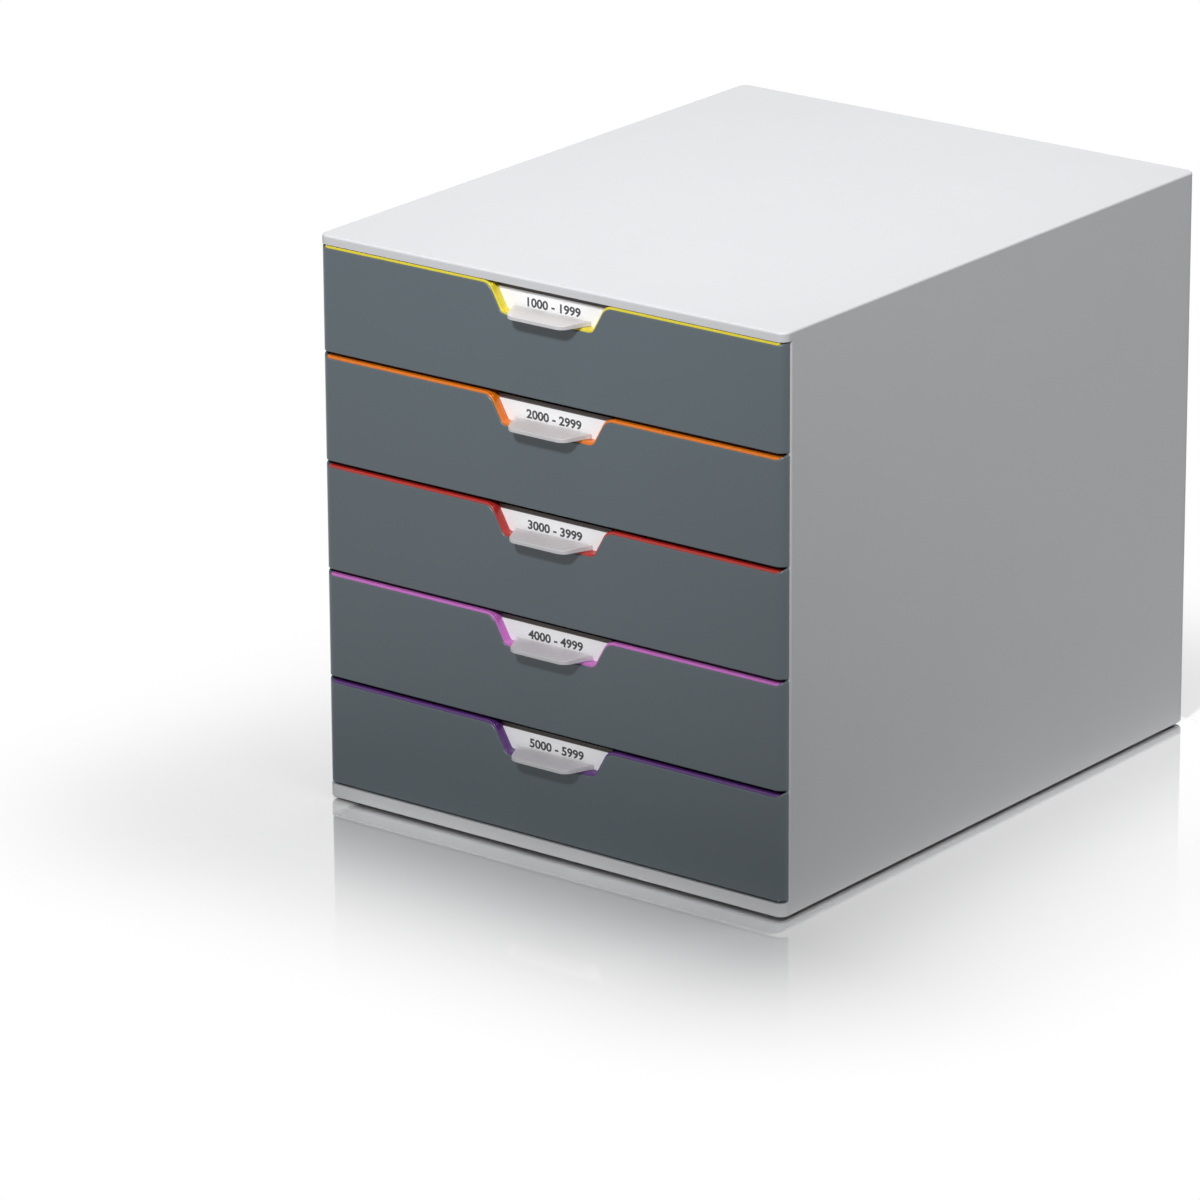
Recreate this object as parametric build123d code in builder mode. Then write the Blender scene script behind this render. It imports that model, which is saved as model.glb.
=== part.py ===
from build123d import *
import math
import os

# A five-drawer desktop organizer for A4 and C4 papers, as separate plastic mouldings in one frame.
# The origin is at the middle of the underside of the whole box: +X right, +Z up, front towards -Y.
# A depth is measured backwards from the front face of the case, and the drawers are shown closed.

os.makedirs("parts", exist_ok=True)

# Case
case_width = 280.0
case_height = 292.0
overall_depth = 356.0
grip_reach = 10.0
corner_radius = 5.0
wall = 2.5
skirt_wall = 3.0
foot_lift = 1.4
base_height = 7.1
cover_height = 4.7
outer_edge_radius = 1.2
stiffening_rib = 2.0
side_return_start = 126.0
side_front_radius = 1.6
rear_edge_half = 134.5
rear_field_half = 125.7
rear_field_inset = 0.5

# Feet
foot_radius = 9.0
boss_radius = 11.0
foot_height = 3.2
foot_edge = 0.4
foot_spacing_x = 224.0
foot_spacing_y = 290.0

# Drawer fronts
drawer_count = 5
pitch = 55.85
lowest_front = 9.6
front_width = 279.0
front_height = 52.5
front_skin = 2.2
return_depth = 4.7
front_corner_radius = 4.6
wall_front_depth = 5.0
full_corner_rise = 2.6
rise_below_cover = 1.4
rise_start = 135.4
rise_end = 138.7
front_edge_radius = 0.7

# Bosses behind each front, which stand it off the tray
boss_diameter = 8.0
boss_spacing_x = 78.0
boss_spacing_z = 24.0
boss_centre_lift = 20.0

# Label cut-out in each front, seen from the front
cutout_half_top = 34.9
cutout_half_bottom = 27.2
cutout_depth = 13.8
cutout_top_radius = 6.5
cutout_bottom_radius = 4.6

# Colour profile, which lines the cut-out and caps the tray's front wall
profile_half_width = 136.8
profile_front_depth = 0.6
profile_corner_radius = 1.6
profile_back_depth = 13.6
profile_rise = 1.3
profile_lip = 0.6
profile_floor_lip = 1.6
profile_leg = 1.4
profile_leg_half_width = 134.5
profile_leg_drop = 7.0
profile_edge_radius = 0.4

# Drawer tray
tray_front_depth = 5.8
tray_half_width = 131.0
tray_back = 165.0
tray_floor_lift = 1.2
tray_rim_drop = 2.7
tray_wall = 1.8
tray_floor = 2.0
tray_front_wall = 2.0
tray_front_half_width = 137.0
tray_front_box_depth = 15.0
tray_corner_radius = 6.0
tray_inner_radius = 3.0
label_wall_rise = 0.2

# Runners: the tray's side flanges slide on ledges, and hooks under the ledges stop the drawer
flange_half_width = 136.6
flange_thickness = 1.8
running_gap = 0.3
ledge_half_width = 132.0
ledge_thickness = 2.4
ledge_front = -150.0
ledge_back = 172.0
hook_gap = 0.4
hook_height = 3.4
hook_front = 153.0
hook_length = 10.0
hook_half_width = 136.4
stop_back = -98.0
stop_length = 6.0
stop_half_width = 133.0

# Label card, and the clear window whose grip ledge pulls the drawer
label_top_drop = 1.9
label_corner_radius = 2.0
card_thickness = 0.4
window_thickness = 1.0
window_back_depth = tray_front_depth - card_thickness
window_play = 0.12
grip_top_drop = 9.1
grip_root_height = 2.7
grip_front_drop = 10.1
grip_front_height = 1.8
grip_half_root = 23.4
grip_half_waist = 21.6
grip_waist_reach = 2.8
grip_half_front = 16.8
grip_waist_radius = 4.0
grip_corner_radius = 6.0
grip_skin = 1.1
grip_rim = 1.3
grip_edge_radius = 0.4

# Places worked out from those sizes
front_y = grip_reach - overall_depth / 2
back_y = overall_depth / 2
case_depth = back_y - front_y
case_mid_y = (front_y + back_y) / 2
base_top = foot_lift + base_height
cover_bottom = case_height - cover_height
label_floor_drop = cutout_depth - profile_floor_lip
ledge_centre_y = (ledge_front + ledge_back) / 2
feet = GridLocations(foot_spacing_x, foot_spacing_y, 2, 2).locations
foot_corners = ("front_left", "back_left", "front_right", "back_right")
drawer_travel = hook_front - stop_back - 1.0

# The alignment that makes a box grow outwards on each side
outwards = {-1: Align.MAX, 1: Align.MIN}
inwards = {-1: Align.MIN, 1: Align.MAX}


def at_depth(depth):
    """The Y of a point this far behind the front face."""
    return front_y + depth


def facing(depth):
    """A plane seen from the front, at this depth, with X right and Z up."""
    return Plane.XZ.offset(-at_depth(depth))


def front_bottom(number):
    """The lowest Z of a drawer's front, where drawer 1 is the top one."""
    return lowest_front + (drawer_count - number) * pitch


def front_top(number):
    """The Z of the top edge of a drawer's front, between its two raised corners."""
    return front_bottom(number) + front_height


def tray_rim(number):
    """The Z of a tray's rim."""
    return front_top(number) - tray_rim_drop


def corner_rise(number):
    """How far a front's corners rise above its top edge. The top drawer's stay clear of the cover."""
    return rise_below_cover if number == 1 else full_corner_rise


def mirrored(points):
    """Adds the mirror images of points that run from the right edge to the middle."""
    return points + [(-x, z) for x, z in reversed(points)]


def half_width_inside(drop, lip):
    """The cut-out's half width at a drop below the front's top edge, inside a lip of this width."""
    slope = (cutout_half_top - cutout_half_bottom) / cutout_depth
    return cutout_half_top - drop * slope - lip * math.hypot(1, slope)


def save(piece, name):
    """Labels a finished piece, writes it and prints its size."""
    piece.label = name
    export_step(piece, f"parts/{name}.step")
    size = piece.bounding_box().size
    print(f"{name}: {size.X:.1f} x {size.Y:.1f} x {size.Z:.1f} mm, {piece.volume / 1000:.1f} cm3")


# Base plate: a shallow shell with a skirt all round, and a boss for each foot
with BuildPart() as base_plate:
    with BuildSketch(Plane((0, case_mid_y, foot_lift))):
        RectangleRounded(case_width, case_depth, corner_radius)
    extrude(amount=base_height)
    fillet(base_plate.edges().group_by(Axis.Z)[0], outer_edge_radius)
    with BuildSketch(Plane((0, case_mid_y, foot_lift))):
        RectangleRounded(case_width - 2 * skirt_wall, case_depth - 2 * skirt_wall, corner_radius - skirt_wall)
    extrude(amount=base_height - wall, mode=Mode.SUBTRACT)
    with BuildSketch(Plane((0, case_mid_y, foot_height))):
        with GridLocations(foot_spacing_x, foot_spacing_y, 2, 2):
            Circle(boss_radius)
    extrude(amount=base_top - wall - foot_height)
save(base_plate.part, "base_plate")

# Top cover: the same shell turned over, with two ribs across it
with BuildPart() as top_cover:
    with BuildSketch(Plane((0, case_mid_y, cover_bottom))):
        RectangleRounded(case_width, case_depth, corner_radius)
    extrude(amount=cover_height)
    fillet(top_cover.edges().group_by(Axis.Z)[-1], outer_edge_radius)
    with BuildSketch(Plane((0, case_mid_y, cover_bottom))):
        RectangleRounded(case_width - 2 * skirt_wall, case_depth - 2 * skirt_wall, corner_radius - skirt_wall)
    extrude(amount=cover_height - wall, mode=Mode.SUBTRACT)
    with BuildSketch(Plane((0, case_mid_y, cover_bottom))):
        with GridLocations(0, case_depth / 3, 1, 2):
            Rectangle(case_width - 2 * skirt_wall, stiffening_rib)
    extrude(amount=cover_height - wall)
save(top_cover.part, "top_cover")

# Rear panel: a sheet with its edges behind the side panels' returns and its middle field between them
with BuildPart() as rear_panel:
    with BuildSketch(Plane((0, back_y - 2 * wall, base_top))):
        Rectangle(2 * rear_edge_half, wall, align=(Align.CENTER, Align.MIN))
        Rectangle(2 * rear_field_half, 2 * wall - rear_field_inset, align=(Align.CENTER, Align.MIN))
        Rectangle(2 * (rear_field_half - wall), wall - rear_field_inset,
                  align=(Align.CENTER, Align.MIN), mode=Mode.SUBTRACT)
    extrude(amount=cover_bottom - base_top)
save(rear_panel.part, "rear_panel")


def make_side_panel(name, side):
    """A side wall that turns round the rear corner, with a runner ledge and a stop for each drawer."""
    levels = [tray_rim(number) - flange_thickness - running_gap for number in range(1, drawer_count + 1)]
    with BuildPart() as side_panel:
        with BuildSketch(Plane((0, case_mid_y, base_top))):
            RectangleRounded(case_width, case_depth, corner_radius)
            offset(amount=-wall, mode=Mode.SUBTRACT)
            with Locations((side * side_return_start, wall_front_depth - case_depth / 2)):
                Rectangle(case_width / 2, case_depth, align=(outwards[side], Align.MIN), mode=Mode.INTERSECT)
        extrude(amount=cover_bottom - base_top)
        outer_corner = Vector(side * case_width / 2, at_depth(wall_front_depth), case_height / 2)
        fillet(side_panel.edges().filter_by(Axis.Z).sort_by_distance(outer_corner)[0], side_front_radius)
        inner_wall = case_width / 2 - wall / 2
        ledge_reach = inner_wall - ledge_half_width
        with Locations(*[(side * inner_wall, ledge_centre_y, z) for z in levels]):
            Box(ledge_reach, ledge_back - ledge_front, ledge_thickness,
                align=(inwards[side], Align.CENTER, Align.MAX))
        stop_height = ledge_thickness + hook_gap + hook_height
        with Locations(*[(side * inner_wall, stop_back, z) for z in levels]):
            Box(inner_wall - stop_half_width, stop_length, stop_height,
                align=(inwards[side], Align.MAX, Align.MAX))
    save(side_panel.part, name)


def make_front_panel(number):
    """A drawer front: a skin with rounded ends, a label cut-out and two raised corners."""
    bottom = front_bottom(number)
    top = front_top(number)
    raised_top = top + corner_rise(number)
    with BuildPart() as front_panel:
        with BuildSketch(Plane((0, front_y, bottom))) as block:
            Rectangle(front_width, return_depth, align=(Align.CENTER, Align.MIN))
            fillet(block.vertices().group_by(Axis.Y)[0], front_corner_radius)
        extrude(amount=raised_top - bottom)
        with BuildSketch(facing(0)):
            with BuildLine():
                right_half = [
                    (front_width / 2, bottom), (front_width / 2, raised_top), (rise_end, raised_top),
                    (rise_start, top), (cutout_half_top, top), (cutout_half_bottom, top - cutout_depth),
                ]
                radii = [0, 0, 1.0, 3.0, cutout_top_radius, cutout_bottom_radius]
                FilletPolyline(*mirrored(right_half), radius=radii + radii[::-1], close=True)
            make_face()
        extrude(amount=-return_depth, mode=Mode.INTERSECT)
        loops = front_panel.edges().filter_by(Axis.Y, reverse=True).filter_by(Axis.Z, reverse=True)
        behind = at_depth(return_depth) - 0.01
        outer_edges = [edge for edge in loops if edge.bounding_box().min.Y < behind]
        fillet(outer_edges, front_edge_radius)
        with BuildSketch(Plane((0, at_depth(front_skin), bottom))) as inside:
            inner_width = front_width - 2 * front_skin
            Rectangle(inner_width, return_depth, align=(Align.CENTER, Align.MIN))
            fillet(inside.vertices().group_by(Axis.Y)[0], front_corner_radius - front_skin)
        extrude(amount=raised_top - bottom, mode=Mode.SUBTRACT)
        with BuildSketch(Plane((0, at_depth(profile_front_depth), top))) as seat:
            Rectangle(2 * profile_half_width, return_depth, align=(Align.CENTER, Align.MIN))
            fillet(seat.vertices().group_by(Axis.Y)[0], profile_corner_radius)
        extrude(amount=raised_top - top, mode=Mode.SUBTRACT)
        with BuildSketch(facing(front_skin)):
            with Locations((0, bottom + boss_centre_lift)):
                with GridLocations(boss_spacing_x, boss_spacing_z, 4, 2):
                    Circle(boss_diameter / 2)
        extrude(amount=front_skin - tray_front_depth)
    save(front_panel.part, f"front_panel_{number}")


def profile_outline(top):
    """The colour profile as it is seen from the front: a strip that dips round the label."""
    outer = [(profile_half_width, top), (cutout_half_top, top), (cutout_half_bottom, top - cutout_depth)]
    inner = [
        (profile_half_width, top + profile_rise),
        (half_width_inside(-profile_rise, profile_lip), top + profile_rise),
        (half_width_inside(label_floor_drop, profile_lip), top - label_floor_drop),
    ]
    outer_radii = [cutout_top_radius, cutout_bottom_radius]
    inner_radii = [cutout_top_radius + profile_lip, label_corner_radius]
    with BuildSketch() as outline:
        with BuildLine():
            FilletPolyline(*mirrored(outer), radius=outer_radii + outer_radii[::-1])
            FilletPolyline(*mirrored(inner), radius=inner_radii + inner_radii[::-1])
            for side in (-1, 1):
                Line((side * profile_half_width, top), (side * profile_half_width, top + profile_rise))
        make_face()
    return outline.sketch


def make_colour_profile(number):
    """The coloured trim: a cap over the tray's front wall, legs beneath it, and a frame round the label."""
    top = front_top(number)
    rim = tray_rim(number)
    with BuildPart() as colour_profile:
        with BuildSketch(facing(profile_front_depth)):
            add(profile_outline(top))
        extrude(amount=profile_front_depth - profile_back_depth)
        with BuildSketch(facing(tray_front_depth)):
            with Locations((0, rim)):
                Rectangle(case_width, cutout_depth, align=(Align.CENTER, Align.MAX))
        extrude(amount=tray_front_depth - profile_back_depth, mode=Mode.SUBTRACT)
        with BuildSketch(Plane((0, at_depth(profile_back_depth), rim))):
            Rectangle(2 * profile_leg_half_width, profile_leg, align=(Align.CENTER, Align.MAX))
        extrude(amount=tray_rim_drop)
        with BuildSketch(Plane((0, at_depth(front_skin), top - profile_leg_drop))):
            Rectangle(2 * profile_leg_half_width, profile_leg, align=(Align.CENTER, Align.MIN))
        extrude(amount=profile_leg_drop)
        with BuildSketch(facing(0)):
            with BuildLine():
                opening = [
                    (cutout_half_top, top + 2 * profile_rise),
                    (half_width_inside(-profile_rise, profile_lip), top + profile_rise),
                    (half_width_inside(label_floor_drop, profile_lip), top - label_floor_drop),
                ]
                radii = [0, 0, label_corner_radius]
                FilletPolyline(*mirrored(opening), radius=radii + radii[::-1], close=True)
            make_face()
        extrude(amount=-profile_back_depth, mode=Mode.SUBTRACT)
        with BuildSketch(Plane((0, front_y, rim - cutout_depth))) as plan:
            with Locations((0, profile_front_depth)):
                Rectangle(2 * profile_half_width, case_width, align=(Align.CENTER, Align.MIN))
            fillet(plan.vertices().group_by(Axis.Y)[0], profile_corner_radius)
        extrude(amount=3 * cutout_depth, mode=Mode.INTERSECT)
        front_edges = colour_profile.edges().filter_by(Axis.Z, reverse=True).group_by(Axis.Y)[0]
        profile = colour_profile.solid()
        behind_and_below = Vector(0, 0.1, -0.1)
        upper_edges = [edge for edge in front_edges if profile.is_inside(edge @ 0.5 + behind_and_below)]
        fillet(upper_edges, profile_edge_radius)
    save(colour_profile.part, f"colour_profile_{number}")


def make_drawer_tray(number):
    """The drawer itself: a box with a hollow front wall, flanges that run on the ledges, and stop hooks."""
    bottom = front_bottom(number) + tray_floor_lift
    rim = tray_rim(number)
    front = at_depth(tray_front_depth)
    inner_front = at_depth(tray_front_box_depth)
    length = tray_back - front
    height = rim - bottom
    inner_half_width = tray_half_width - tray_wall
    side_root = tray_half_width - tray_wall / 2
    with BuildPart() as drawer_tray:
        with BuildSketch(Plane((0, front, bottom))) as footprint:
            Rectangle(2 * tray_half_width, length, align=(Align.CENTER, Align.MIN))
            fillet(footprint.vertices().group_by(Axis.Y)[-1], tray_corner_radius)
        extrude(amount=height)
        with BuildSketch(Plane((0, front, bottom))):
            Rectangle(2 * tray_front_half_width, tray_front_wall, align=(Align.CENTER, Align.MIN))
        extrude(amount=height)
        with BuildSketch(Plane((0, inner_front, bottom + tray_floor))):
            inner_length = tray_back - tray_wall - inner_front
            with Locations((0, inner_length / 2)):
                RectangleRounded(2 * inner_half_width, inner_length, tray_corner_radius - tray_wall)
        extrude(amount=height, mode=Mode.SUBTRACT)
        floor_edges = drawer_tray.faces().sort_by(Axis.Z)[1].edges()
        fillet(floor_edges, tray_inner_radius)
        with BuildSketch(Plane((0, front + tray_front_wall, bottom))):
            hollow_depth = tray_front_box_depth - tray_front_depth - tray_front_wall - tray_wall
            Rectangle(2 * inner_half_width, hollow_depth, align=(Align.CENTER, Align.MIN))
        extrude(amount=height - tray_wall, mode=Mode.SUBTRACT)
        with BuildSketch(Plane((0, front, rim - flange_thickness))):
            for side in outwards:
                with Locations((side * side_root, 0)):
                    Rectangle(flange_half_width - side_root, length - tray_corner_radius,
                              align=(outwards[side], Align.MIN))
        extrude(amount=flange_thickness)
        hook_top = rim - flange_thickness - running_gap - ledge_thickness - hook_gap
        with BuildSketch(Plane((0, hook_front, hook_top - hook_height))):
            for side in outwards:
                with Locations((side * side_root, 0)):
                    Rectangle(hook_half_width - side_root, hook_length, align=(outwards[side], Align.MIN))
        extrude(amount=hook_height)
        with BuildSketch(facing(tray_front_depth)):
            add(frame_filling(front_top(number), -label_wall_rise, tray_rim_drop, 0))
        extrude(amount=-tray_front_wall)
    save(drawer_tray.part, f"drawer_tray_{number}")


def frame_filling(top, upper_drop, lower_drop, corner):
    """A trapezoid that fills the colour profile's frame between two drops below the front's top edge."""
    corners = [
        (half_width_inside(upper_drop, profile_lip) - window_play, top - upper_drop),
        (half_width_inside(lower_drop, profile_lip) - window_play, top - lower_drop),
    ]
    radii = [0, corner]
    with BuildSketch() as outline:
        with BuildLine():
            FilletPolyline(*mirrored(corners), radius=radii + radii[::-1], close=True)
        make_face()
    return outline.sketch


def make_label_card(number):
    """The paper card behind the window."""
    with BuildPart() as label_card:
        with BuildSketch(facing(tray_front_depth)):
            add(frame_filling(front_top(number), label_top_drop, label_floor_drop, label_corner_radius))
        extrude(amount=card_thickness)
    save(label_card.part, f"label_card_{number}")


def grip_section(top, drop):
    """The grip's side view, lowered by a drop: its top slopes down towards the front lip."""
    root = at_depth(window_back_depth - window_thickness)
    lip = front_y - grip_reach
    with BuildSketch() as section:
        with BuildLine():
            Polyline(
                (root, top - grip_top_drop - drop),
                (lip, top - grip_front_drop - drop),
                (lip, top - grip_front_drop - grip_front_height - drop),
                (root, top - grip_top_drop - grip_root_height - drop),
                close=True,
            )
        make_face()
    return section.sketch


def grip_plan(inset):
    """The grip from above, drawn in by an inset: a ledge that narrows from its root to a rounded front."""
    root = at_depth(window_back_depth - window_thickness)
    lip = front_y - grip_reach + inset
    right_half = [
        (grip_half_root - inset, root),
        (grip_half_waist - inset, root - grip_waist_reach),
        (grip_half_front - inset, lip),
    ]
    radii = [0, grip_waist_radius, grip_corner_radius - inset]
    with BuildSketch() as plan:
        with BuildLine():
            FilletPolyline(*mirrored(right_half), radius=radii + radii[::-1], close=True)
        make_face()
    return plan.sketch


def make_pull_tab(number):
    """The clear window over the label, with the frosted grip ledge moulded on it."""
    top = front_top(number)
    above = top - grip_top_drop + 1.0
    below = 2 * grip_reach
    with BuildPart() as core:
        with BuildSketch(Plane.XY.offset(above)):
            add(grip_plan(grip_rim))
        extrude(amount=-below)
        with BuildSketch(Plane.YZ):
            add(grip_section(top, grip_skin))
        extrude(amount=grip_half_root, both=True, mode=Mode.INTERSECT)
    with BuildPart() as pull_tab:
        with BuildSketch(Plane.XY.offset(above)):
            add(grip_plan(0))
        extrude(amount=-below)
        with BuildSketch(Plane.YZ):
            add(grip_section(top, 0))
        extrude(amount=grip_half_root, both=True, mode=Mode.INTERSECT)
        top_edges = pull_tab.faces().sort_by(Axis.Z)[-1].edges()
        root = at_depth(window_back_depth - window_thickness)
        fillet([edge for edge in top_edges if edge.center().Y < root - 0.1], grip_edge_radius)
        add(core.part, mode=Mode.SUBTRACT)
        with BuildSketch(facing(window_back_depth)):
            add(frame_filling(top, label_top_drop, label_floor_drop, label_corner_radius))
        extrude(amount=window_thickness)
    save(pull_tab.part, f"pull_tab_{number}")


def make_rubber_foot(name, place):
    """A foot that sits on its boss under the base plate."""
    with BuildPart() as rubber_foot:
        with BuildSketch(Plane((place.position.X, case_mid_y + place.position.Y, 0))):
            Circle(foot_radius)
        extrude(amount=foot_height)
        chamfer(rubber_foot.edges().group_by(Axis.Z)[0], foot_edge)
    save(rubber_foot.part, name)


make_side_panel("left_side_panel", -1)
make_side_panel("right_side_panel", 1)
for corner, foot_place in zip(foot_corners, feet):
    make_rubber_foot(f"rubber_foot_{corner}", foot_place)
for drawer in range(1, drawer_count + 1):
    make_drawer_tray(drawer)
    make_front_panel(drawer)
    make_colour_profile(drawer)
    make_label_card(drawer)
    make_pull_tab(drawer)

print(f"case: {case_width:.1f} wide, {case_depth:.1f} deep and {case_height:.1f} mm high")
print(f"with the grips: {overall_depth:.1f} mm deep; each drawer slides out by {drawer_travel:.1f} mm")
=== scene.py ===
# %% [markdown]
# A desktop drawer organizer, dressed for its picture
#
# The construction of this drawer box is finished elsewhere: the case, the five drawers, their fronts,
# trims, cards and clear tabs all arrive at their real size, in metres, already in place.
# What is left to do here is what the eye judges: the grain of each plastic, the haze of the tabs,
# the printed figures on the cards, the light of the photo studio, and the camera.
#
# First the imported model is loaded. Its bounding box is kept, because the table later measures
# distances from the box's footprint.

# %% Load the drawer box
import math

import bpy
from mathutils import Matrix, Vector


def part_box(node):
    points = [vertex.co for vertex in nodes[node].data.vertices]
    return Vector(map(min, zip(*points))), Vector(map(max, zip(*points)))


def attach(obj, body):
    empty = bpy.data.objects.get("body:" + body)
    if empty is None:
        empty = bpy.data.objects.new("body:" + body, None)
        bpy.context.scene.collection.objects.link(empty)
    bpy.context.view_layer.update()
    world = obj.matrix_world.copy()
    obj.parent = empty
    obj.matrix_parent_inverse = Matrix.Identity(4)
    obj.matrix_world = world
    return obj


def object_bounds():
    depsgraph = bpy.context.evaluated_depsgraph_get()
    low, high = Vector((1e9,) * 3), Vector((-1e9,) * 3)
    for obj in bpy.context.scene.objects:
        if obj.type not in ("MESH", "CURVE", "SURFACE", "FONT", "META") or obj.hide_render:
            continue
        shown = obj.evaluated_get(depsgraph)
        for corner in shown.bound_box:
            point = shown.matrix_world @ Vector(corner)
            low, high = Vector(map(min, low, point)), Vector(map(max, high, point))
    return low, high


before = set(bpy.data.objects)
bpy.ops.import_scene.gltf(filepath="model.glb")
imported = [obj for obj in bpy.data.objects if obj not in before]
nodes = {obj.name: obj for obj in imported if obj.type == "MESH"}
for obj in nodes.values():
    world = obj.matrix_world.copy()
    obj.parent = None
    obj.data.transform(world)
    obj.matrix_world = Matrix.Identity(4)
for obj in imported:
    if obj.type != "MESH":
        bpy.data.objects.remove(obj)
cad_low, cad_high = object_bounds()
drawers = range(1, 6)
print("drawer box:", [round(high - low, 4) for low, high in zip(cad_low, cad_high)])

# %% [markdown]
# The camera comes first, because every other choice is judged through it.
#
# A product photographer stands well back with a long lens, so that the edges of a box stay almost
# parallel. Here the camera stands to the right of the box and above it. Its turn, its tilt and its
# slight roll are three rotations, multiplied in the order in which a tripod head makes them.

# %% Camera
camera_place = Vector((2.076, -2.8133, 1.2944))
camera_turn = math.radians(37.703)
camera_tilt = math.radians(19.054)
camera_roll = math.radians(-0.34)

camera_data = bpy.data.cameras.new("camera")
camera_data.sensor_fit = "AUTO"
camera_data.sensor_width = 36.0
camera_data.lens = 222.3
camera_data.clip_start = 0.1
camera_data.clip_end = 50.0
camera = bpy.data.objects.new("camera", camera_data)
bpy.context.scene.collection.objects.link(camera)
tripod_head = (
    Matrix.Rotation(camera_turn, 4, "Z")
    @ Matrix.Rotation(math.pi / 2 - camera_tilt, 4, "X")
    @ Matrix.Rotation(camera_roll, 4, "Z")
)
camera.matrix_world = Matrix.Translation(camera_place) @ tripod_head
bpy.context.scene.camera = camera
print("camera distance:", round(camera_place.length, 3))

# %% [markdown]
# Blender's node trees are easier to read when a few words build them. `add_node` makes a node and
# sets its inputs by name, `wire` joins two sockets, and `add_math` and `soft_range` write a sum or
# a gradual change on one line.

# %% Helpers for node trees
def add_node(tree, kind, settings=None, **inputs):
    """Adds a node, sets its options, then its inputs, whose names are written with underscores."""
    node = tree.nodes.new(kind)
    for option, value in (settings or {}).items():
        setattr(node, option, value)
    for name, value in inputs.items():
        node.inputs[name.replace("_", " ")].default_value = value
    return node


def wire(tree, from_socket, to_socket):
    """Joins an output to an input."""
    tree.links.new(from_socket, to_socket)


def add_math(tree, operation, *operands):
    """Adds a Math node and returns its output. Each operand is a number or an output socket."""
    node = add_node(tree, "ShaderNodeMath", {"operation": operation})
    for socket, operand in zip(node.inputs, operands):
        if isinstance(operand, (int, float)):
            socket.default_value = operand
        else:
            wire(tree, operand, socket)
    return node.outputs[0]


def soft_range(tree, value, start, end, at_start=0.0, at_end=1.0):
    """Goes from one level to another while a value goes from start to end, with soft bends."""
    node = add_node(
        tree, "ShaderNodeMapRange", {"interpolation_type": "SMOOTHSTEP"},
        From_Min=start, From_Max=end, To_Min=at_start, To_Max=at_end,
    )
    wire(tree, value, node.inputs["Value"])
    return node.outputs["Result"]


# %% [markdown]
# A material here is one Principled shader, and the shader itself keeps every value that is the same
# all over the surface. What changes over the surface comes from a node group, which is built once,
# gets named inputs, and is placed in each material with that material's own values.
#
# The pieces of the drawer box arrive with empty slots. `dress` fills them, and
# `in_each_drawer` spells the names of a piece that all five drawers have.

# %% Helpers for materials
def new_group(name, inputs, outputs):
    """Makes an empty node group. Inputs are (name, kind, default), outputs are (name, kind)."""
    group = bpy.data.node_groups.new(name, "ShaderNodeTree")
    for label, kind, default in inputs:
        socket = group.interface.new_socket(name=label, in_out="INPUT", socket_type=kind)
        socket.default_value = default
    for label, kind in outputs:
        group.interface.new_socket(name=label, in_out="OUTPUT", socket_type=kind)
    start = group.nodes.new("NodeGroupInput")
    end = group.nodes.new("NodeGroupOutput")
    return group, start, end


def place_group(tree, group, **inputs):
    """Places a node group in a material and sets its inputs."""
    return add_node(tree, "ShaderNodeGroup", {"node_tree": group}, **inputs)


def new_material(name, color, **inputs):
    """Makes a material with one Principled shader, and returns the material, its tree and the shader."""
    material = bpy.data.materials.new(name)
    material.use_nodes = True
    material.diffuse_color = (*color, 1.0)
    tree = material.node_tree
    shader = tree.nodes["Principled BSDF"]
    shader.inputs["Base Color"].default_value = (*color, 1.0)
    for label, value in inputs.items():
        shader.inputs[label.replace("_", " ")].default_value = value
    return material, tree, shader


def dress(material, names):
    """Gives nodes of the drawer box a material, in every slot they have."""
    for name in names:
        mesh = nodes[name].data
        if not mesh.materials:
            mesh.materials.append(material)
        for index in range(len(mesh.materials)):
            mesh.materials[index] = material
    print(material.name, "on:", ", ".join(names))


def in_each_drawer(piece):
    """The names of a piece that every drawer has."""
    return [f"{piece}_{number}" for number in drawers]


# %% [markdown]
# Moulded plastic has two scales of detail.
#
# The coarse one is what the melt and the years do: faint clouds in the colour a few centimetres wide,
# and patches that hands have polished a little. Both are soft noise. The first is centred on the
# plastic's own colour and the second on its own roughness, so that neither changes on average.

# %% Clouds and polish
clouds_per_metre = 22.0
patches_per_metre = 55.0


def add_clouds(group, place, color, clouding):
    """Lightens and darkens a colour in clouds, evenly about its own level."""
    clouds = add_node(group, "ShaderNodeTexNoise", Scale=clouds_per_metre, Detail=3.0, Roughness=0.55)
    wire(group, place.outputs["Object"], clouds.inputs["Vector"])
    darkest = add_math(group, "MULTIPLY_ADD", clouding, -0.5, 1.0)
    level = add_math(group, "MULTIPLY_ADD", clouds.outputs["Fac"], clouding, darkest)
    tinted = add_node(group, "ShaderNodeVectorMath", {"operation": "SCALE"})
    wire(group, color, tinted.inputs[0])
    wire(group, level, tinted.inputs["Scale"])
    return tinted.outputs[0]


def add_polish(group, place, roughness, polish):
    """Raises and lowers a roughness in patches, evenly about its own level."""
    patches = add_node(group, "ShaderNodeTexNoise", Scale=patches_per_metre, Detail=4.0, Roughness=0.6)
    wire(group, place.outputs["Object"], patches.inputs["Vector"])
    centred = add_math(group, "SUBTRACT", patches.outputs["Fac"], 0.5)
    return add_math(group, "MULTIPLY_ADD", centred, polish, roughness)


print("clouds:", round(100 / clouds_per_metre, 1), "cm, patches:", round(100 / patches_per_metre, 1), "cm")

# %% [markdown]
# The fine scale is the eroded grain of the steel mould: soft pits about half a millimetre across,
# which break up the highlights. Modelled pits would take millions of faces, and at this size the eye
# sees only how they tilt the surface, so a bump makes them.

# %% Mould grain
pit_depth = 0.0001


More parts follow.
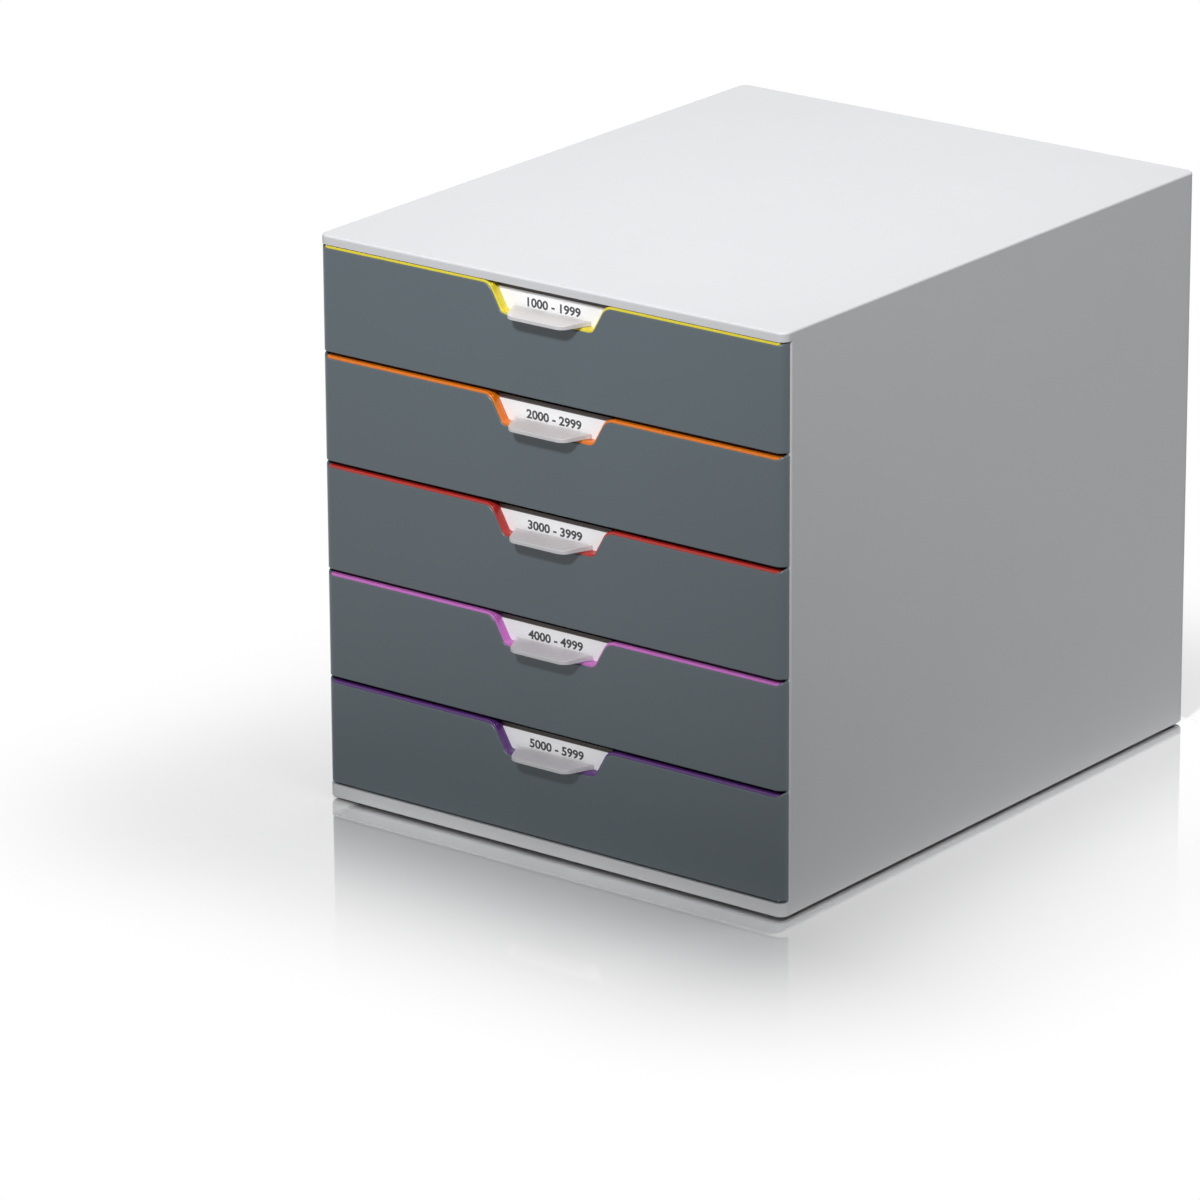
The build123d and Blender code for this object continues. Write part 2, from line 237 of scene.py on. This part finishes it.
def add_pits(group, place, size, strength):
    """Tilts the surface by soft pits of a size in metres."""
    pits_per_metre = add_math(group, "DIVIDE", 1.0, size)
    pits = add_node(group, "ShaderNodeTexNoise", Detail=2.0, Roughness=0.5)
    wire(group, place.outputs["Object"], pits.inputs["Vector"])
    wire(group, pits_per_metre, pits.inputs["Scale"])
    grain = add_node(group, "ShaderNodeBump", Distance=pit_depth)
    wire(group, strength, grain.inputs["Strength"])
    wire(group, pits.outputs["Fac"], grain.inputs["Height"])
    return grain.outputs["Normal"]


print("pits at most", round(1000 * pit_depth, 2), "mm deep")

# %% [markdown]
# Every moulding here needs all three, so they become one node group. It reads object coordinates in
# metres, which means that the grain keeps its real size on every piece. An image of the grain could
# do the same, but it would have to be unwrapped on each piece, and it would repeat.

# %% Moulded plastic as a node group
def build_moulded_grain():
    """Builds the group that gives a plastic its clouds, its polish and its grain."""
    group, start, end = new_group(
        "moulded_grain",
        [
            ("Color", "NodeSocketColor", (0.5, 0.5, 0.5, 1.0)),
            ("Clouding", "NodeSocketFloat", 0.04),
            ("Roughness", "NodeSocketFloat", 0.5),
            ("Polish", "NodeSocketFloat", 0.06),
            ("Grain Size", "NodeSocketFloat", 0.00035),
            ("Grain Depth", "NodeSocketFloat", 0.2),
        ],
        [("Color", "NodeSocketColor"), ("Roughness", "NodeSocketFloat"), ("Normal", "NodeSocketVector")],
    )
    place = add_node(group, "ShaderNodeTexCoord")
    color = add_clouds(group, place, start.outputs["Color"], start.outputs["Clouding"])
    roughness = add_polish(group, place, start.outputs["Roughness"], start.outputs["Polish"])
    normal = add_pits(group, place, start.outputs["Grain Size"], start.outputs["Grain Depth"])
    wire(group, color, end.inputs["Color"])
    wire(group, roughness, end.inputs["Roughness"])
    wire(group, normal, end.inputs["Normal"])
    return group


moulded_grain = build_moulded_grain()
print(moulded_grain.name, "has", len(moulded_grain.nodes), "nodes")


def moulded_plastic(name, color, roughness, grain, **shader_values):
    """A plastic with the mould's grain. Grain holds the group's other inputs."""
    material, tree, shader = new_material(name, color, **shader_values)
    group = place_group(tree, moulded_grain, Color=(*color, 1.0), Roughness=roughness, **grain)
    wire(tree, group.outputs["Color"], shader.inputs["Base Color"])
    wire(tree, group.outputs["Roughness"], shader.inputs["Roughness"])
    wire(tree, group.outputs["Normal"], shader.inputs["Normal"])
    return material


# %% [markdown]
# The case is a cool light grey with a matt grain. Its four mouldings and the rear wall share it. The
# colour is nearly even on the real box, so the clouds stay faint, and the shading of the large plain
# walls is left to the light.

# %% Case
case_plastic = moulded_plastic(
    "case_plastic", (0.53, 0.535, 0.55), 0.48,
    {"Clouding": 0.03, "Polish": 0.08, "Grain_Size": 0.0005, "Grain_Depth": 0.25},
    IOR=1.48,
)
dress(case_plastic, ["base_plate", "top_cover", "left_side_panel", "right_side_panel", "rear_panel"])

# %% [markdown]
# The drawer fronts are a dark blue-grey and a little smoother than the case. On so dark a colour, a
# good part of what is seen is the mirrored pale room, as a soft sheen. Its share follows from the
# refractive index, so the index is set a little above that of the case.

# %% Drawer fronts
front_plastic = moulded_plastic(
    "front_plastic", (0.068, 0.092, 0.107), 0.36,
    {"Clouding": 0.05, "Polish": 0.08, "Grain_Size": 0.0004, "Grain_Depth": 0.16},
    IOR=1.6,
)
dress(front_plastic, in_each_drawer("front_panel"))

# %% [markdown]
# The trays are a warm anthracite. They rub on their runners, so their grain is coarser and the polished
# patches are stronger.

# %% Trays
tray_plastic = moulded_plastic(
    "tray_plastic", (0.078, 0.063, 0.059), 0.5,
    {"Clouding": 0.12, "Polish": 0.2, "Grain_Size": 0.0006, "Grain_Depth": 0.3},
)
dress(tray_plastic, in_each_drawer("drawer_tray"))

# %% [markdown]
# Each drawer has a trim in a colour of its own, from yellow at the top to violet at the bottom.
# These mouldings are smooth and bright, and light goes a little way into them, which softens
# their thin edges. A touch of subsurface scattering says that.

# %% Colour profiles
profile_colors = {
    1: ("yellow_plastic", (0.73, 0.60, 0.035)),
    2: ("orange_plastic", (0.74, 0.18, 0.008)),
    3: ("red_plastic", (0.46, 0.023, 0.017)),
    4: ("pink_plastic", (0.61, 0.17, 0.58)),
    5: ("violet_plastic", (0.115, 0.032, 0.21)),
}
for number, (slot_name, color) in profile_colors.items():
    profile_plastic = moulded_plastic(
        slot_name, color, 0.28,
        {"Clouding": 0.03, "Polish": 0.06, "Grain_Size": 0.0004, "Grain_Depth": 0.05},
        IOR=1.5, Subsurface_Weight=0.2, Subsurface_Scale=0.0015,
    )
    dress(profile_plastic, [f"colour_profile_{number}"])

# %% [markdown]
# The label cards are stiff white paper. Up close, paper is a felt of fibres: a noise that is drawn
# out along the card gives both its faint mottling and its tooth. The card also has a weak glow of
# its own at a fixed strength. This is painted light: it keeps a card in its shaded recess white,
# whatever the lamps do.

# %% Label cards
fibres_per_metre = (900.0, 900.0, 3600.0)
# The card's emission is painted light: a fixed glow that brightens the card where shade falls in its
# recess.
card_glow_color = (0.95, 0.96, 1.0, 1.0)
card_painted_glow = 0.14


def paper_card(name, color):
    """White paper with fibres, and a painted glow that brightens it in its shaded recess."""
    material, tree, shader = new_material(
        name, color, Roughness=0.8, Emission_Color=card_glow_color, Emission_Strength=card_painted_glow,
    )
    place = add_node(tree, "ShaderNodeTexCoord")
    stretch = add_node(tree, "ShaderNodeMapping", Scale=fibres_per_metre)
    wire(tree, place.outputs["Object"], stretch.inputs["Vector"])
    fibres = add_node(tree, "ShaderNodeTexNoise", Scale=1.0, Detail=4.0, Roughness=0.65)
    wire(tree, stretch.outputs["Vector"], fibres.inputs["Vector"])
    shade = add_node(tree, "ShaderNodeMapRange", To_Min=0.96, To_Max=1.02)
    wire(tree, fibres.outputs["Fac"], shade.inputs["Value"])
    tone = add_node(tree, "ShaderNodeVectorMath", {"operation": "SCALE"})
    tone.inputs[0].default_value = color
    wire(tree, shade.outputs["Result"], tone.inputs["Scale"])
    wire(tree, tone.outputs[0], shader.inputs["Base Color"])
    tooth = add_node(tree, "ShaderNodeBump", Strength=0.2, Distance=0.00005)
    wire(tree, fibres.outputs["Fac"], tooth.inputs["Height"])
    wire(tree, tooth.outputs["Normal"], shader.inputs["Normal"])
    return material


dress(paper_card("card", (0.78, 0.78, 0.79)), in_each_drawer("label_card"))

# %% [markdown]
# The pull tab is one clear moulding with two finishes. Its window is polished, so that the card can
# be read, and its grip is frosted by a rough mould, so that it looks like milky glass.
#
# One material does both. A mask along the depth of the box tells the window from the grip: behind
# the root of the grip the plastic lets most light through, and in front of it the haze begins.
# Frosting scatters a lamp's light much more than it dims the view, so the grip's shadow is darker
# than its look would say.

# %% Pull tabs
tab_low, tab_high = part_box("pull_tab_1")
window_thickness = 0.001
grip_root = tab_high.y - window_thickness
frost_starts = grip_root - 0.0001
frost_is_full = grip_root - 0.0003
window_opacity = 0.03
thin_frost_opacity = 0.5
thick_frost_opacity = 0.63
frost_shadow_opacity = 0.88
window_roughness = 0.06
frost_roughness = 0.38
haze_per_metre = 900.0


def blend_numbers(tree, share, without, full):
    """Goes from one number to another by a share. Each number may be an output socket."""
    node = add_node(tree, "ShaderNodeMix", {"data_type": "FLOAT"})
    wire(tree, share, node.inputs["Factor"])
    for label, operand in (("A", without), ("B", full)):
        if isinstance(operand, (int, float)):
            node.inputs[label].default_value = operand
        else:
            wire(tree, operand, node.inputs[label])
    return node.outputs["Result"]


def clear_tab(name, color):
    """Clear plastic behind the root of the grip, and frosted plastic in front of it."""
    material, tree, shader = new_material(name, color, IOR=1.49)
    place = add_node(tree, "ShaderNodeTexCoord")
    axes = add_node(tree, "ShaderNodeSeparateXYZ")
    wire(tree, place.outputs["Object"], axes.inputs["Vector"])
    frost = add_node(tree, "ShaderNodeMapRange", From_Min=frost_starts, From_Max=frost_is_full)
    wire(tree, axes.outputs["Y"], frost.inputs["Value"])
    frost = frost.outputs["Result"]

    haze = add_node(tree, "ShaderNodeTexNoise", Scale=haze_per_metre, Detail=3.0, Roughness=0.6)
    wire(tree, place.outputs["Object"], haze.inputs["Vector"])
    haze = haze.outputs["Fac"]
    frost_opacity = add_node(
        tree, "ShaderNodeMapRange", To_Min=thin_frost_opacity, To_Max=thick_frost_opacity,
    )
    wire(tree, haze, frost_opacity.inputs["Value"])
    opacity = blend_numbers(tree, frost, window_opacity, frost_opacity.outputs["Result"])
    rays = add_node(tree, "ShaderNodeLightPath")
    in_grip_shadow = add_math(tree, "MULTIPLY", rays.outputs["Is Shadow Ray"], frost)
    opacity = blend_numbers(tree, in_grip_shadow, opacity, frost_shadow_opacity)
    wire(tree, opacity, shader.inputs["Alpha"])

    roughness = add_node(tree, "ShaderNodeMapRange", To_Min=window_roughness, To_Max=frost_roughness)
    wire(tree, frost, roughness.inputs["Value"])
    wire(tree, roughness.outputs["Result"], shader.inputs["Roughness"])
    pits = add_node(tree, "ShaderNodeBump", Distance=pit_depth)
    wire(tree, frost, pits.inputs["Strength"])
    wire(tree, haze, pits.inputs["Height"])
    wire(tree, pits.outputs["Normal"], shader.inputs["Normal"])
    return material


dress(clear_tab("frosted_clear_plastic", (0.83, 0.81, 0.83)), in_each_drawer("pull_tab"))

# %% [markdown]
# The feet are black rubber, dusty rather than shiny. Nobody sees them in the picture, but the box may
# be turned over in another one, so they get the same care.

# %% Feet
foot_rubber = moulded_plastic(
    "foot_rubber", (0.02, 0.02, 0.02), 0.85,
    {"Clouding": 0.2, "Polish": 0.1, "Grain_Size": 0.0008, "Grain_Depth": 0.4},
)
dress(foot_rubber, [name for name in nodes if name.startswith("rubber_foot")])

# %% [markdown]
# The drawers are numbered as an archive would number them: a plain range of file numbers on each
# card, in dark toner that lies a few hundredths of a millimetre proud of the paper.
#
# Figures start as a text object, because the font then gives their outlines. Converted to a mesh,
# merged and turned upright, they become an ordinary closed piece, which rides on its drawer.

# %% Printed numbers
figure_height = 0.0044
figure_squeeze = 1.12
stroke_weight = 0.03
toner_thickness = 0.00004
baseline_below_card_top = 0.0071
weld_distance = 0.000002

toner = moulded_plastic(
    "toner", (0.035, 0.036, 0.04), 0.55,
    {"Clouding": 0.15, "Polish": 0.1, "Grain_Size": 0.0002, "Grain_Depth": 0.1},
)


def flat_figures(name, body):
    """Text as a mesh that lies flat and is one unit thick."""
    bpy.ops.object.select_all(action="DESELECT")
    bpy.ops.object.text_add(location=(0, 0, 0))
    figures = bpy.context.object
    figures.name = name
    figures.data.body = body
    figures.data.align_x = "CENTER"
    figures.data.resolution_u = 4
    figures.data.offset = stroke_weight
    figures.data.extrude = 0.5
    bpy.ops.object.convert(target="MESH")
    return figures


def print_numbers(number):
    """Prints the file numbers of a drawer on its card."""
    figures = flat_figures(f"printed_numbers_{number}", f"{number}000 - {number}999")
    tallest = max(corner[1] for corner in figures.bound_box)
    scale = figure_height / tallest
    figures.scale = (scale * figure_squeeze, scale, toner_thickness)
    figures.rotation_euler = (math.pi / 2, 0.0, 0.0)
    card_low, card_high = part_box(f"label_card_{number}")
    figures.location = (
        (card_low.x + card_high.x) / 2,
        card_low.y - toner_thickness / 2,
        card_high.z - baseline_below_card_top,
    )
    bpy.ops.object.transform_apply(location=True, rotation=True, scale=True)
    bpy.ops.object.mode_set(mode="EDIT")
    bpy.ops.mesh.select_all(action="SELECT")
    bpy.ops.mesh.remove_doubles(threshold=weld_distance)
    bpy.ops.mesh.normals_make_consistent(inside=False)
    bpy.ops.object.mode_set(mode="OBJECT")
    figures.data.materials.append(toner)
    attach(figures, f"drawer_{number}")
    return figures


for number in drawers:
    figures = print_numbers(number)
    print(figures.name, "width:", round(figures.dimensions.x, 4), "height:", round(figures.dimensions.z, 4))

# %% [markdown]
# The table is a sheet of white acrylic, as product studios use. It takes the box's soft shadow and a
# mirror image of its front, and further away it has to fade into pure white.
#
# Both change with the distance from the box, so that is measured first. A point past one side of the
# box's footprint is as far away as it is past that side, and a point past a corner as the two
# distances say together, by Pythagoras.

# %% Distance from the box
def distance_from_footprint(tree, axes):
    """The distance of a table point from the rectangle that the box stands on."""
    squares = []
    for axis, low, high in zip("XYZ", cad_low[:2], cad_high[:2]):
        from_middle = add_math(tree, "SUBTRACT", axes.outputs[axis], (low + high) / 2)
        past_edge = add_math(tree, "SUBTRACT", add_math(tree, "ABSOLUTE", from_middle), (high - low) / 2)
        beyond = add_math(tree, "MAXIMUM", past_edge, 0.0)
        squares.append(add_math(tree, "MULTIPLY", beyond, beyond))
    return add_math(tree, "SQRT", add_math(tree, "ADD", *squares))


print("footprint:", round(cad_high.x - cad_low.x, 4), "by", round(cad_high.y - cad_low.y, 4))

# %% [markdown]
# Acrylic mirrors more at a flat angle, and the image is clearest where the box touches its own
# reflection. So the mirror's share falls with the angle and with the distance.
#
# In the first centimetre the mirror takes over nearly all, because there it shows the dark gap under
# the base. At the left front corner that strip would mirror the white room beside the box instead,
# as a bright wedge, so there it fades out.

# %% Mirror image
mirror_close = 0.72
mirror_far = 0.15
mirror_reach = 0.13
contact_strength = 1.37
contact_starts = 0.004
contact_ends = 0.012
corner_starts = cad_low.x + 0.008
corner_ends = cad_low.x + 0.02


def mirror_share(tree, axes, distance):
    """How much of what the table shows is a mirror image."""
    facing = add_node(tree, "ShaderNodeLayerWeight", Blend=0.5).outputs["Facing"]
    nearby = soft_range(tree, distance, 0.0, mirror_reach, mirror_close, mirror_far)
    contact = soft_range(tree, distance, contact_starts, contact_ends, contact_strength, 0.0)
    past_corner = soft_range(tree, axes.outputs["X"], corner_starts, corner_ends)
    contact = add_math(tree, "MULTIPLY", contact, past_corner)
    return add_math(tree, "MULTIPLY", facing, add_math(tree, "MAXIMUM", nearby, contact))


print("mirror share from", mirror_close, "to", mirror_far, "over", mirror_reach, "m")

# %% [markdown]
# Three shaders make the sheet. A diffuse one takes the light and the shadows. Towards other surfaces
# it sends back less light than the camera sees, as if black cloth lay beside the set, so that the
# sides of the box keep their depth. A glossy one gives the mirror image. A plain white glow takes
# over with the distance.
#
# The glow is for the camera, and for mirrors and glass, which show what the camera would see. It
# lights nothing, so the background is white without any more light on the box.

# %% Table
table_radius = 6.0
sheet_seen = 0.96
sheet_sent = 0.34
glow_starts = -0.01
glow_is_full = 0.20


def shown_share(tree, rays):
    """One for the rays that show a background: those of the camera, mirrors and glass."""
    share = add_math(tree, "MAXIMUM", rays.outputs["Is Camera Ray"], rays.outputs["Is Glossy Ray"])
    return add_math(tree, "MAXIMUM", share, rays.outputs["Is Transmission Ray"])


def blend_shaders(tree, share, without, full):
    """Goes from one shader to another by a share."""
    node = add_node(tree, "ShaderNodeMixShader")
    wire(tree, share, node.inputs["Fac"])
    wire(tree, without.outputs[0], node.inputs[1])
    wire(tree, full.outputs[0], node.inputs[2])
    return node


def white_acrylic(name):
    """A white sheet that mirrors the box and fades into white."""
    material = bpy.data.materials.new(name)
    material.use_nodes = True
    tree = material.node_tree
    tree.nodes.remove(tree.nodes["Principled BSDF"])
    rays = add_node(tree, "ShaderNodeLightPath")
    place = add_node(tree, "ShaderNodeTexCoord")
    axes = add_node(tree, "ShaderNodeSeparateXYZ")
    wire(tree, place.outputs["Object"], axes.inputs["Vector"])
    distance = distance_from_footprint(tree, axes)

    to_surfaces = add_math(tree, "MAXIMUM", rays.outputs["Is Diffuse Ray"], rays.outputs["Is Glossy Ray"])
    sheet_color = add_node(tree, "ShaderNodeMapRange", To_Min=sheet_seen, To_Max=sheet_sent)
    wire(tree, to_surfaces, sheet_color.inputs["Value"])
    sheet = add_node(tree, "ShaderNodeBsdfDiffuse")
    wire(tree, sheet_color.outputs["Result"], sheet.inputs["Color"])
    mirror = add_node(tree, "ShaderNodeBsdfGlossy", Color=(1.0, 1.0, 1.0, 1.0), Roughness=0.05)
    polished = blend_shaders(tree, mirror_share(tree, axes, distance), sheet, mirror)

    far = soft_range(tree, distance, glow_starts, glow_is_full)
    glow_share = add_math(tree, "MULTIPLY", far, shown_share(tree, rays))
    glow = add_node(tree, "ShaderNodeEmission", Color=(1.0, 1.0, 1.0, 1.0), Strength=1.0)
    whole = blend_shaders(tree, glow_share, polished, glow)
    wire(tree, whole.outputs[0], tree.nodes["Material Output"].inputs["Surface"])
    return material


bpy.ops.object.select_all(action="DESELECT")
bpy.ops.mesh.primitive_circle_add(vertices=96, radius=table_radius, fill_type="NGON", location=(0, 0, 0))
table = bpy.context.object
table.name = "table"
table.data.materials.append(white_acrylic("white_acrylic"))
print("table across:", round(table.dimensions.x, 2))

# %% [markdown]
# The studio has three lights.
#
# The short shadow under each tab tells where the main light stands: in front of the drawers, a
# little to the right and about forty degrees up. The fronts are bright at the top and darker at the
# bottom, so this light is a soft spot that is aimed above the box and only grazes it with its rim.
# A wide panel overhead makes the top the brightest face and throws the soft shadow to the left.
# A weak panel on the right keeps the side wall from sinking into grey towards the back.

# %% Lights
box_middle = Vector((0.0, 0.0, 0.15))


def hang(name, kind, watts, direction, distance, aim):
    """Hangs a light in a direction from the middle of the box, aims it, and returns its data."""
    data = bpy.data.lights.new(name, kind)
    data.energy = watts
    lamp = bpy.data.objects.new(name, data)
    bpy.context.scene.collection.objects.link(lamp)
    lamp.location = box_middle + Vector(direction).normalized() * distance
    lamp.rotation_euler = (Vector(aim) - lamp.location).to_track_quat("-Z", "Y").to_euler()
    print(name, "at", [round(value, 2) for value in lamp.location])
    return data


key_light = hang("key_light", "SPOT", 388.0, (0.214, -0.747, 0.629), 3.0, (-0.07, 0.0, 0.46))
key_light.spot_size = math.radians(24.0)
key_light.spot_blend = 1.0
key_light.shadow_soft_size = 0.14

overhead_light = hang("overhead_light", "AREA", 28.3, (0.2, 0.05, 0.98), 2.0, box_middle)
overhead_light.size = 1.5

fill_light = hang("fill_light", "AREA", 1.7, (0.95, 0.25, 0.2), 2.0, box_middle)
fill_light.size = 1.2
fill_light.color = (0.92, 0.98, 1.0)

# %% [markdown]
# Around the set is a white room with its blinds drawn. The camera, mirrors and glass see it as pure
# white, and the surfaces get only a little of its light, which fills the shadows evenly.

# %% Room
room_on_surfaces = 0.125
room_as_shown = 1.0

world = bpy.data.worlds.new("studio_room")
bpy.context.scene.world = world
world.use_nodes = True
room = world.node_tree
dim_room = room.nodes["Background"]
dim_room.inputs["Color"].default_value = (1.0, 1.0, 1.0, 1.0)
dim_room.inputs["Strength"].default_value = room_on_surfaces
white_room = add_node(room, "ShaderNodeBackground", Color=(1.0, 1.0, 1.0, 1.0), Strength=room_as_shown)
room_rays = add_node(room, "ShaderNodeLightPath")
whole_room = blend_shaders(room, shown_share(room, room_rays), dim_room, white_room)
wire(room, whole_room.outputs[0], room.nodes["World Output"].inputs["Surface"])

bpy.context.scene.view_settings.view_transform = "Standard"
print("room light:", room_on_surfaces, "view transform:", bpy.context.scene.view_settings.view_transform)
